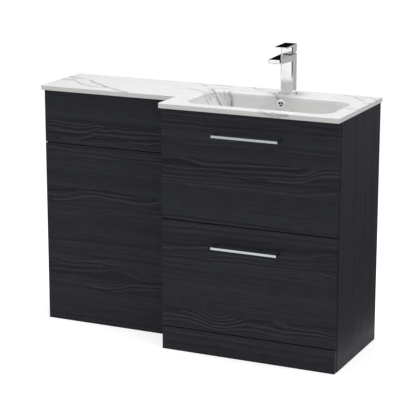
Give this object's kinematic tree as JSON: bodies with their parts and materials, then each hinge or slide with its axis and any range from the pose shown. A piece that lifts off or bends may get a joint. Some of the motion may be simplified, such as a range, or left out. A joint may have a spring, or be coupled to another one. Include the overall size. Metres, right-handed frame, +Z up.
{
  "type": "vanity unit",
  "caption": "Floor-standing vanity unit with drawers and a back-to-wall toilet unit under one L-shaped basin top, with a lever mixer tap.",
  "frame": {"origin": "centre of the base of the whole object's box, on the floor", "axes": "+X to the right from the toilet unit to the vanity unit, +Y back to the wall, +Z up"},
  "size_m": [1.11, 0.415, 0.9805],
  "materials": {
    "marble": "gloss, white with grey veins",
    "chrome": "polished",
    "handle_chrome": "polished",
    "rubber": "matte",
    "brass": "machined",
    "white_plastic": "moulded",
    "steel": "zinc plated",
    "runner_steel": "zinc plated, rolled",
    "front_grain": "charcoal wood grain, horizontal, satin",
    "side_grain": "charcoal wood grain, vertical, satin",
    "pale_board": "pale grey faced board"
  },
  "bodies": {
    "cabinet": {"basin_top": "marble", "overflow_ring": "chrome", "waste_body": "chrome", "waste_seal": "rubber", "waste_nut": "brass", "tap_base_ring": "chrome", "tap_body": "chrome", "tap_aerator": "steel", "tap_cartridge": "white_plastic", "tap_stud": "steel", "tap_clamp_plate": "steel", "tap_nut": "brass", "wc_side_left": "side_grain", "wc_side_right": "side_grain", "wc_lower_front": "front_grain", "wc_front_rail": "pale_board", "wc_top_rail": "pale_board", "wc_back_rail": "pale_board", "wc_bottom_rail": "pale_board", "wc_front_brackets": "steel", "panel_clip_sockets": "white_plastic", "vanity_side_left": "side_grain", "vanity_side_right": "side_grain", "vanity_base": "pale_board", "vanity_mid_rail": "pale_board", "vanity_back_rail": "pale_board", "vanity_bottom_rail": "pale_board", "plinth": "front_grain", "plinth_brackets": "steel", "corner_blocks": "white_plastic", "cam_discs": "steel", "connecting_screws": "steel", "upper_runner_rails": "runner_steel", "lower_runner_rails": "runner_steel"},
    "upper_drawer": {"upper_drawer_front": "front_grain", "upper_drawer_side_left": "pale_board", "upper_drawer_side_right": "pale_board", "upper_drawer_back": "pale_board", "upper_drawer_well": "pale_board", "upper_drawer_base": "pale_board", "upper_drawer_runners": "runner_steel", "upper_handle": "handle_chrome", "upper_handle_screws": "steel"},
    "upper_middles": {"upper_runner_middles": "runner_steel"},
    "lower_drawer": {"lower_drawer_front": "front_grain", "lower_drawer_side_left": "pale_board", "lower_drawer_side_right": "pale_board", "lower_drawer_back": "pale_board", "lower_drawer_base": "pale_board", "lower_drawer_runners": "runner_steel", "lower_handle": "handle_chrome", "lower_handle_screws": "steel"},
    "lower_middles": {"lower_runner_middles": "runner_steel"},
    "access_panel": {"wc_upper_front": "front_grain", "panel_clip_studs": "white_plastic"},
    "plug": {"waste_plug": "chrome"},
    "mixer_core": {"tap_core": "steel"},
    "lever": {"tap_lever": "chrome", "tap_stem": "steel", "lever_screw": "steel"}
  },
  "joints": [
    {"name": "upper_drawer_slide", "type": "slide", "parent": "cabinet", "child": "upper_drawer", "axis": [0, -1, 0], "range_m": [0, 0.27]},
    {"name": "upper_middles_slide", "type": "slide", "parent": "cabinet", "child": "upper_middles", "axis": [0, -1, 0], "range_m": [0, 0.135]},
    {"name": "lower_drawer_slide", "type": "slide", "parent": "cabinet", "child": "lower_drawer", "axis": [0, -1, 0], "range_m": [0, 0.27]},
    {"name": "lower_middles_slide", "type": "slide", "parent": "cabinet", "child": "lower_middles", "axis": [0, -1, 0], "range_m": [0, 0.135]},
    {"name": "access_panel_pull", "type": "slide", "parent": "cabinet", "child": "access_panel", "axis": [0, -1, 0], "range_m": [0, 0.05]},
    {"name": "plug_press", "type": "slide", "parent": "cabinet", "child": "plug", "axis": [0, 0, -1], "range_m": [0, 0.006], "stiffness_N_per_m": 1500, "springref_m": -0.004},
    {"name": "lever_turn", "type": "hinge", "parent": "cabinet", "child": "mixer_core", "pos_m": [0.258, 0.1385, 0.942], "axis": [0, 0, 1], "range_deg": [-45, 45]},
    {"name": "lever_lift", "type": "hinge", "parent": "mixer_core", "child": "lever", "pos_m": [0.258, 0.1385, 0.942], "axis": [-1, 0, 0], "range_deg": [0, 20]}
  ],
  "couplings": [
    {"joint": "upper_middles_slide", "follows": "upper_drawer_slide", "ratio": 0.5},
    {"joint": "lower_middles_slide", "follows": "lower_drawer_slide", "ratio": 0.5}
  ]
}
